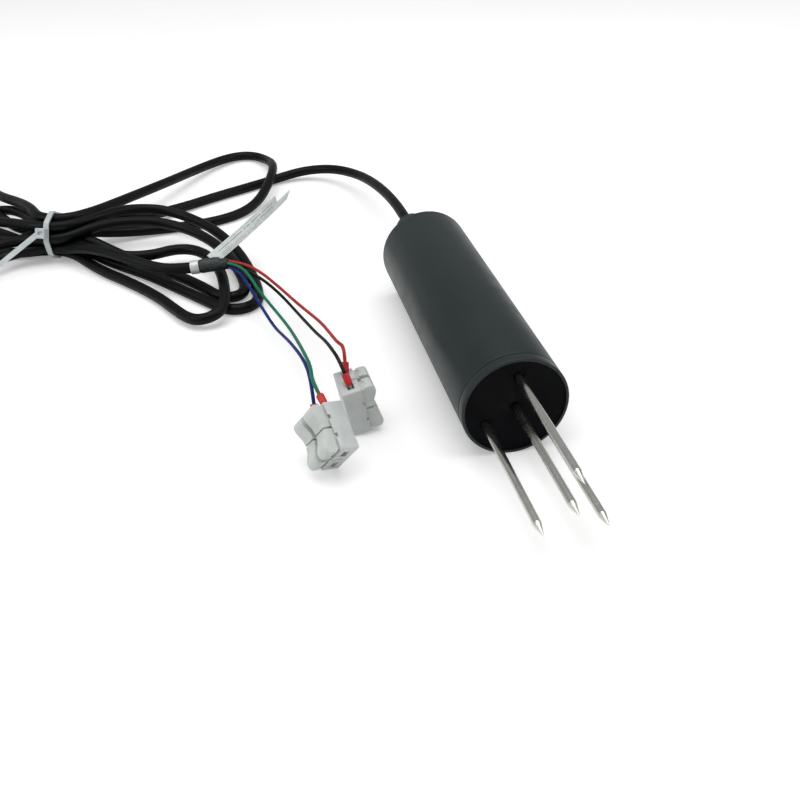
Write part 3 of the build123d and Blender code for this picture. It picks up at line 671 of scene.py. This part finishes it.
def hexagon(angle, radius, at):
    """A hexagon whose corners stay inside the radius."""
    return min(radius, HEX_FLAT / cos((angle % (pi / 3)) - pi / 6))


def fluted(angle, radius, at):
    """Rounded grip flutes on the wide part of the nut."""
    if radius < 6.6 or at > NUT_X - 0.7 or at < NUT_X - FLUTES_LENGTH:
        return radius
    depth = min(1.0, (at - NUT_X + FLUTES_LENGTH) / 3.0)
    return radius - FLUTE_DEPTH * depth * (0.5 + 0.5 * cos(FLUTES * angle)) ** 3


body_profile = [
    *soft_corners([(FLANGE_X, THREAD_R), (FLANGE_X, HEX_R), (NUT_X, HEX_R), (NUT_X, THREAD_R)], 0.5,
                  closed=False),
    (NUT_X - 8, THREAD_R), (NUT_X - 8, SEAL_R), (NUT_X, SEAL_R), (NUT_X, THROAT_R), (REAR_X + 9, THROAT_R),
    (REAR_X + 9, THREAD_R)]
piece("gland_body_hex", to_mesh(turned(body_profile, AXLE, 96, hexagon), "gland_body_hex"), "gland",
      ("gland_body",))
nut_profile = soft_corners(
    [(NUT_X, THREAD_R), (NUT_X, NUT_R), (NUT_X - 6, NUT_R), (NUT_X - 12, NUT_R), (NUT_X - 16.3, NUT_R),
     (GLAND_END_X + 0.9, NUT_R), (GLAND_END_X, 5.9), (GLAND_END_X, NUT_HOLE_R), (NUT_X - 10.2, NUT_HOLE_R),
     (NUT_X - 10.2, THREAD_R)], 0.7)
piece("gland_dome_nut", to_mesh(turned(nut_profile, AXLE, 144, fluted), "gland_dome_nut"), "gland",
      ("gland_nut",))

# ---------------------------------------------------------------- cable end: band, sleeve, boot and label
def wrinkled(size, waves, phase=0.0):
    """An outline for heat-shrink: shallow folds that run along it and across it."""
    def outline(angle, radius, at):
        folds = sin(waves * angle + phase + at * 0.9) * 0.6 + sin((waves + 2) * angle - at * 1.7) * 0.4
        return radius + size * folds
    return outline


sleeve_line = seat_matrix(SLEEVE_START, Vector((0, 0, 1)).cross(SLEEVE_DIR), SLEEVE_DIR)
BAND_R = 3.2
BAND_END = 4.0
band_profile = soft_corners(
    [(0, CABLE_R + 0.02), (0, BAND_R), (BAND_END, BAND_R), (BAND_END, CABLE_R + 0.02)], 0.18)
band = piece("cable_band_ring", to_mesh(turned(band_profile, sleeve_line, 64), "cable_band_ring"),
             "white_band", ("cable_band",))
sleeve_profile = soft_corners(
    [(4.4, CABLE_R + 0.05), (4.4, BAND_R), (5.6, 3.28), (8.2, 3.22), (9.6, 3.36), (11.6, 3.3), (13.8, 3.1),
     (13.8, CABLE_R + 0.05)], 0.4)
sleeve = piece("cable_sleeve", to_mesh(turned(sleeve_profile, sleeve_line, 72, wrinkled(0.06, 5)),
                                       "cable_sleeve"), "shrink_grey", ("shrink_sleeve",))
boot_line = seat_matrix(BOOT_START, (1, 0, 0), BOOT_DIR)
boot_profile = soft_corners(
    [(-0.5, 0), (-0.5, 2.45), (0.8, 2.62), (2.6, 2.55), (4.4, 2.62), (BOOT_LENGTH, 2.4), (BOOT_LENGTH, 0)],
    0.35, closed=False)
boot = piece("cable_boot", to_mesh(turned(boot_profile, boot_line, 64, wrinkled(0.07, 4, 1.0), closed=False),
                                   "cable_boot"), "shrink_black", ("shrink_boot",))

LABEL_ROOT = SLEEVE_START + SLEEVE_DIR * 10.0 + Vector((0, 0, 2.8))
LABEL_TIP = Vector((-141.5, -57.6, 30.0))
LABEL_ACROSS = Vector((0.52, 0.68, -0.52))
LABEL_T = 0.16
LABEL_TWIST = radians(50)
LABEL_PRINT = 52.0   # the length that the printed rules are laid out over


def label_leaf(width, length, shift, cut, lift=0.0):
    """One leaf of the folded label: a bowed, twisted strip with a slanted end, and UVs for its printing."""
    run = (LABEL_TIP - LABEL_ROOT).normalized()
    across = (LABEL_ACROSS - run * LABEL_ACROSS.dot(run)).normalized()
    normal = run.cross(across)
    made = bmesh.new()
    uv_layer = made.loops.layers.uv.new("UVMap")
    rows, columns = 40, 6
    spots = {}
    grid = {}
    for side in (0, 1):
        for i in range(rows + 1):
            for j in range(columns + 1):
                v = j / columns
                reach = length - cut * v
                u = i / rows
                s = u * reach
                bow = 1.3 * sin(pi * u) + 0.35 * sin(5.0 * u + 0.6) * v + 0.25 * (v - 0.5) ** 2 * 4
                turn = LABEL_TWIST * u * u
                wide = (v - 0.5) * width + shift
                deep = lift + (side - 0.5) * LABEL_T
                place = (LABEL_ROOT + run * s + across * (wide * cos(turn) - deep * sin(turn))
                         + normal * (bow + wide * sin(turn) + deep * cos(turn)))
                vert = made.verts.new(place * MM)
                grid[side, i, j] = vert
                spots[vert] = (s / LABEL_PRINT, v)
    for side in (0, 1):
        for i in range(rows):
            for j in range(columns):
                made.faces.new((grid[side, i, j], grid[side, i + 1, j], grid[side, i + 1, j + 1],
                                grid[side, i, j + 1]))
    rim = ([(i, 0) for i in range(rows)] + [(rows, j) for j in range(columns)]
           + [(i, columns) for i in range(rows, 0, -1)] + [(0, j) for j in range(columns, 0, -1)])
    for (i, j), (m, n) in zip(rim, rim[1:] + rim[:1]):
        made.faces.new((grid[0, i, j], grid[0, m, n], grid[1, m, n], grid[1, i, j]))
    bmesh.ops.recalc_face_normals(made, faces=made.faces)
    for face in made.faces:
        for loop in face.loops:
            loop[uv_layer].uv = spots[loop.vert]
    return made


label_mesh = joined("label_flag_strip", label_leaf(5.6, 51.5, 0.0, 1.2),
                    label_leaf(3.0, 62.0, 1.6, 4.5, lift=-0.3))
label = piece("label_flag_strip", label_mesh, "label", ("label_flag",), sharp=60)

# ---------------------------------------------------------------- cable tie
tie_frame = Matrix.Translation(Vector((*TIE, BUNDLE_Z))) @ Matrix(
    ((TIE_FRONT[0], 0, TIE_ALONG[0]), (TIE_FRONT[1], 0, TIE_ALONG[1]), (0, 1, 0))).to_4x4()
STRAND_R = CABLE_R + 0.02
STRAP_HALF = 1.3     # half the strap's width
circle = []
for angle, distance in STRANDS.values():
    for k in range(36):
        turn = radians(angle) + 2 * pi * k / 36
        circle.append((distance * cos(radians(angle)) + STRAND_R * cos(turn),
                       distance * sin(radians(angle)) + STRAND_R * sin(turn)))
hull = [Vector(circle[i]) for i in convex_hull_2d(circle)]
hull = [p for i, p in enumerate(hull) if (p - hull[i - 1]).length > 0.12]
strap_section = soft_corners([(0.0, -STRAP_HALF), (STRAP_T - 0.1, -STRAP_HALF), (STRAP_T - 0.1, STRAP_HALF),
                              (0.0, STRAP_HALF)], 0.3)
made = bmesh.new()
strap_rings = []
for i, here in enumerate(hull):
    tangent = (hull[(i + 1) % len(hull)] - hull[i - 1]).normalized()
    outward = Vector((tangent.y, -tangent.x))
    outward = outward if outward.dot(here) > 0 else -outward
    ring = [tie_frame @ Vector((*(here + outward * out), wide)) for out, wide in strap_section]
    strap_rings.append([made.verts.new(point * MM) for point in ring])
for one, two in zip(strap_rings, strap_rings[1:] + strap_rings[:1]):
    for k in range(len(strap_section)):
        m = (k + 1) % len(strap_section)
        made.faces.new((one[k], one[m], two[m], two[k]))
bmesh.ops.recalc_face_normals(made, faces=made.faces)
strap = piece("tie_strap_loop", to_mesh(made, "tie_strap_loop"), "tie", ("tie_strap",))

HEAD_ANGLE = radians(26)
HEAD_SHIFT = -1.0
head_out = Vector((cos(HEAD_ANGLE), sin(HEAD_ANGLE), 0))
head_round = Vector((-sin(HEAD_ANGLE), cos(HEAD_ANGLE), 0))
head_turn = Matrix((head_out, head_round, Vector((0, 0, 1)))).transposed().to_4x4()
head_seat = tie_frame @ Matrix.Translation(
    head_out * (BUNDLE_R + STRAP_T) + Vector((0, 0, HEAD_SHIFT))) @ head_turn
tail_start = head_seat @ Vector((2.1, 0, -1.3))
TIE_TAIL_END = Vector((-132.0, -201.0, 7.0))
tail_run = TIE_TAIL_END - tail_start
TAIL_ACROSS = Vector((0.54, 0.62, -0.57))
tail_frame = seat_matrix(tail_start, TAIL_ACROSS, tail_run)
head_body = carved(block(head_seat, (-0.6, -2.5, -2.3), (4.2, 2.5, 2.3), 0.5),
                   [block(head_seat, (1.0, -1.5, 1.3), (3.4, 1.5, 4.0)),
                    block(head_seat, (3.3, -0.8, -1.0), (5.0, 0.8, 1.6))], "tie_head_block", 0.18)
# the strap's end: a strip with teeth on one side, and narrower over its last few millimetres
TEETH = 22
TAIL_HALF_T = 0.5
tail_long = tail_run.length
narrow_from = tail_long - 4.0
tooth = (tail_long - 6.0) / TEETH
tail_points = []
for k in range(TEETH):
    start = 1.5 + k * tooth
    tail_points += [(start, TAIL_HALF_T), (start + 0.75 * tooth, 0.36)]
strip_side = [(0.0, TAIL_HALF_T), *tail_points, (narrow_from, TAIL_HALF_T), (tail_long, 0.34),
              (tail_long, -0.34), (narrow_from, -TAIL_HALF_T), (0.0, -TAIL_HALF_T)]
strip = bmesh.new()
low_side, high_side = ([strip.verts.new(
    tail_frame @ Vector((way * (STRAP_HALF if z < narrow_from else 0.8), y, z)) * MM) for z, y in strip_side]
    for way in (-1, 1))
strip.faces.new(low_side)
strip.faces.new(list(reversed(high_side)))
for k in range(len(strip_side)):
    m = (k + 1) % len(strip_side)
    strip.faces.new((low_side[m], low_side[k], high_side[k], high_side[m]))
bmesh.ops.recalc_face_normals(strip, faces=strip.faces)
tie_mesh = bmesh.new()
tie_mesh.from_mesh(head_body)
tie_head = piece("tie_head_and_tail", joined("tie_head_and_tail", tie_mesh, strip), "tie", ("tie_head",),
                 sharp=30)

# ---------------------------------------------------------------- connectors
CONN_H = 12.8
BLOCK_H = 7.4
BLOCK_LOW = -CONN_H / 2
BLOCK_TOP = BLOCK_LOW + BLOCK_H
LEVER_W = 6.2
LEVER_END = CONN_L / 2 - 0.2
SHELF_Z = BLOCK_TOP + 1.2
WAIST_Z = 4.3        # of the lever's top at its waist, and of the upper edge of its end
HINGE_X, HINGE_Z = 1.0, 0.2
PIN_R = 0.5
PIN_HALF = 3.7       # half the hinge pin's length
CHANNEL_HALF_W = 1.8
CHANNEL_HALF_H = 1.3
CHANNEL_FLOOR = CHANNEL_Z - CHANNEL_HALF_H
SPRING_T = 0.32
THROUGH = 20.0       # far enough for a cutter to pass right through
CONNECTOR_EDGE = 0.8


def smooth_line(points, steps=6):
    """A Catmull-Rom line through points in a plane."""
    spots = [Vector(p) for p in points]
    spots = [spots[0] * 2 - spots[1]] + spots + [spots[-1] * 2 - spots[-2]]
    made = []
    for a, b, c, d in zip(spots, spots[1:], spots[2:], spots[3:]):
        for k in range(steps):
            t = k / steps
            made.append(tuple(0.5 * (2 * b + (c - a) * t + (2 * a - 5 * b + 4 * c - d) * t * t
                                     + (3 * b - a - 3 * c + d) * t ** 3)))
    return made + [tuple(spots[-2])]


LEVER_TOP = smooth_line([(0.3, WAIST_Z), (1.6, 4.36), (3.2, 4.86), (4.8, 5.68), (6.2, 6.16), (7.4, 6.24),
                         (8.5, 5.86), (9.16, 5.1), (LEVER_END, WAIST_Z)])
LEVER_SIDE = [(0.3, -0.35), (1.9, -0.35), *soft_corners(
    [(1.9, -0.35), (LEVER_END - 0.7, 0.6), (LEVER_END - 0.7, SHELF_Z), (LEVER_END, SHELF_Z),
     (LEVER_END, WAIST_Z)], 0.25, closed=False)[1:-1], *reversed(LEVER_TOP)]


def hinge_matrix(seat, y, side):
    """A lever's hinge: the middle of its pin, with Z along the pin."""
    return seat @ Matrix.Translation(Vector((side * HINGE_X, y, HINGE_Z))) @ Matrix.Rotation(pi / 2, 4, "X")


def lever_mesh(name, seat, y, side):
    """Press lever: a waisted thumb piece with a shallow slot in its end, and its hinge pin."""
    outline = [(side * x, z) for x, z in LEVER_SIDE]
    outline = outline if side > 0 else list(reversed(outline))
    thumb = prism(outline, seat, y - LEVER_W / 2, y + LEVER_W / 2, 0.42)
    ends = sorted((side * (LEVER_END - 0.35), side * (LEVER_END + 1)))
    notch = block(seat, (ends[0], y - 1.3, SHELF_Z - 0.4), (ends[1], y + 1.3, SHELF_Z + 0.9))
    pin = turned([(-PIN_HALF, 0), (-PIN_HALF, PIN_R - 0.05), (-PIN_HALF + 0.1, PIN_R),
                  (PIN_HALF - 0.1, PIN_R), (PIN_HALF, PIN_R - 0.05), (PIN_HALF, 0)],
                 hinge_matrix(seat, y, side), 24, closed=False)
    whole = bmesh.new()
    carved_thumb = carved(thumb, [notch], name)
    whole.from_mesh(carved_thumb)
    bpy.data.meshes.remove(carved_thumb)
    return joined(name, whole, pin)


def clip_mesh(name, seat, y):
    """Sprung strip on the channel's floor, each end bent up and back as a tongue."""
    bottom = CHANNEL_FLOOR + 0.2
    tongue = [(6.2, bottom), (6.45, bottom + 0.3), (6.1, bottom + 0.6), (3.0, bottom + 1.75)]
    parts = []
    for path in ([(-6.4, bottom), *tongue], [(0.0, bottom), *((-x, z) for x, z in tongue)]):
        centre = smooth_line(path, 5)
        upper, lower = [], []
        for i, here in enumerate(centre):
            ahead = Vector(centre[min(i + 1, len(centre) - 1)]) - Vector(centre[max(i - 1, 0)])
            normal = Vector((-ahead[1], ahead[0])).normalized() * SPRING_T / 2
            upper.append(tuple(Vector(here) + normal))
            lower.append(tuple(Vector(here) - normal))
        parts.append(prism(upper + list(reversed(lower)), seat, y - 1.45, y + 1.45))
    return joined(name, *parts)


for end_name, seat in SEATS.items():
    above = BLOCK_TOP + 2.0
    # the groove between the two poles
    cutters = [block(seat, (-THROUGH, -0.25, BLOCK_TOP - 5.0), (THROUGH, 0.25, above))]
    for y in POLES.values():
        cutters.append(block(seat, (-THROUGH, y - CHANNEL_HALF_W, CHANNEL_FLOOR),
                             (THROUGH, y + CHANNEL_HALF_W, CHANNEL_Z + CHANNEL_HALF_H)))
        # the well under the levers, the two slots in its sides and the holes for the pins
        cutters.append(block(seat, (-CONN_L / 2 + 0.7, y - 3.3, -0.6), (CONN_L / 2 - 0.7, y + 3.3, above)))
        for x in (-3.6, 3.6):
            cutters.append(block(seat, (x - 0.85, y - 4.5, 0.1), (x + 0.85, y + 4.5, above)))
        for side in (-1, 1):
            cutters.append(turned([(-PIN_HALF - 0.05, 0), (-PIN_HALF - 0.05, PIN_R + 0.05),
                                   (PIN_HALF + 0.05, PIN_R + 0.05), (PIN_HALF + 0.05, 0)],
                                  hinge_matrix(seat, y, side), 24, closed=False))
    outline = soft_corners([(-CONN_L / 2, -POLE_PITCH), (CONN_L / 2, -POLE_PITCH), (CONN_L / 2, POLE_PITCH),
                            (-CONN_L / 2, POLE_PITCH)], CONNECTOR_EDGE)
    upright = seat @ Matrix(((1, 0, 0), (0, 0, -1), (0, 1, 0))).to_4x4()
    shell = prism(outline, upright, BLOCK_LOW, BLOCK_TOP, 0.3, 2)
    connector_mesh = carved(shell, cutters, f"connector_{end_name}_housing", 0.12)
    piece(f"connector_{end_name}_housing", connector_mesh, "connector_clear",
          (f"connector_{end_name}_shell",))
    for pole, y in POLES.items():
        clip = f"clip_{end_name}_{pole}"
        piece(f"{clip}_strip", clip_mesh(f"{clip}_strip", seat, y), "spring_steel", (clip,))
        for way, side in (("in", -1), ("out", 1)):
            lever = f"lever_{end_name}_{pole}_{way}"
            piece(f"{lever}_thumb", lever_mesh(f"{lever}_thumb", seat, y, side), "lever_clear", (lever,),
                  body=lever)

# ---------------------------------------------------------------- ferrules
COLLAR_R = 1.45
FERRULE_PIN_R = 0.55
FERRULE_END = 6.4
collar_profile = soft_corners(
    [(-0.1, 0.8), (-0.1, COLLAR_R - 0.12), (0.25, COLLAR_R), (3.0, COLLAR_R), (3.7, COLLAR_R - 0.1),
     (COLLAR_LENGTH, 0.84), (COLLAR_LENGTH, 0.5), (2.0, 0.6)], 0.25)
pin_profile = [(1.0, 0), (1.0, FERRULE_PIN_R), (FERRULE_END - 0.2, FERRULE_PIN_R), (FERRULE_END, 0.42),
               (FERRULE_END, 0)]


def crimped(angle, radius, at):
    """The collar is a little flat, from the crimping tool."""
    if not 0.3 < at < COLLAR_LENGTH - 0.2:
        return radius
    return radius * (1 - 0.10 * (0.5 + 0.5 * cos(2 * angle)))


for core_name, (*_, core_end, outward) in cores.items():
    place = seat_matrix(core_end, (0, 0, 1), -outward)
    collar = turned(collar_profile, place, 40, crimped)
    pin = turned(pin_profile, place, 24, closed=False)
    mesh = joined(f"ferrule_{core_name}_crimp", collar, (pin, 1))
    mesh.materials.append(MATERIALS["ferrule"])
    mesh.materials.append(MATERIALS["ferrule_pin"])
    piece(f"ferrule_{core_name}_crimp", mesh, "ferrule", (f"ferrule_{core_name}",))

# ---------------------------------------------------------------- the pieces beside each core's cord, gathered into a list that nothing uses
for core_name, (end_name, pole, *_, length) in CORES.items():
    wire, core_start = cores[core_name][:2]
    carries = [f"ferrule_{core_name}_crimp"]
    if pole == "a":
        carries.append(f"connector_{end_name}_housing")
        for clip_pole in POLES:
            carries.append(f"clip_{end_name}_{clip_pole}_strip")
            carries += [f"lever_{end_name}_{clip_pole}_{way}_thumb" for way in ("in", "out")]


# ---------------------------------------------------------------- floor and light
FLOOR_LIFT = 0.26    # the glow that the camera sees on the floor, which lights nothing else
FLOOR_HALF = 6.0
WORLD_STRENGTH = 0.32
# name, place, target and size in metres, power in watts
LAMPS = (("softbox_top", (-0.1, -0.05, 1.1), (-0.05, -0.05, 0), (1.2, 1.0), 7.6),
         ("softbox_left", (0.15, -1.0, 0.6), (-0.05, -0.05, 0.02), (0.9, 0.6), 3.2),
         ("softbox_right", (0.1, 1.0, 0.55), (-0.02, 0.0, 0.02), (0.8, 0.5), 2.6))


def floor_material():
    """Plain pale floor."""
    made = Nodes("studio_floor", Roughness=0.75, Specular_IOR_Level=0.2)
    seen = made.node("LightPath", {}).outputs["Is Camera Ray"]
    made.shader.inputs["Emission Color"].default_value = (1, 1, 1, 1)
    made.tree.links.new(made.math("MULTIPLY", seen, FLOOR_LIFT), made.shader.inputs["Emission Strength"])
    made.colour(made.ramp(made.noise(3.0, 2.0), (0.4, (0.94, 0.94, 0.94)), (0.6, (0.96, 0.96, 0.96))))
    return made.material


floor_bm = bmesh.new()
bmesh.ops.create_grid(floor_bm, x_segments=1, y_segments=1, size=FLOOR_HALF)
floor_mesh = to_mesh(floor_bm, "floor")
floor_mesh.materials.append(floor_material())
floor = bpy.data.objects.new("floor", floor_mesh)
SCENE.collection.objects.link(floor)

world = bpy.data.worlds.new("studio")
SCENE.world = world
world.use_nodes = True
backdrop = world.node_tree.nodes["Background"]
backdrop.inputs["Color"].default_value = (1.0, 1.0, 1.0, 1)
backdrop.inputs["Strength"].default_value = WORLD_STRENGTH
for lamp_name, place, target, size, power in LAMPS:
    data = bpy.data.lights.new(lamp_name, "AREA")
    data.shape = "RECTANGLE"
    data.size, data.size_y = size
    data.energy = power
    obj = bpy.data.objects.new(lamp_name, data)
    obj.location = place
    aim(obj, Vector(target) - Vector(place))
    SCENE.collection.objects.link(obj)
SCENE.view_settings.view_transform = "Standard"
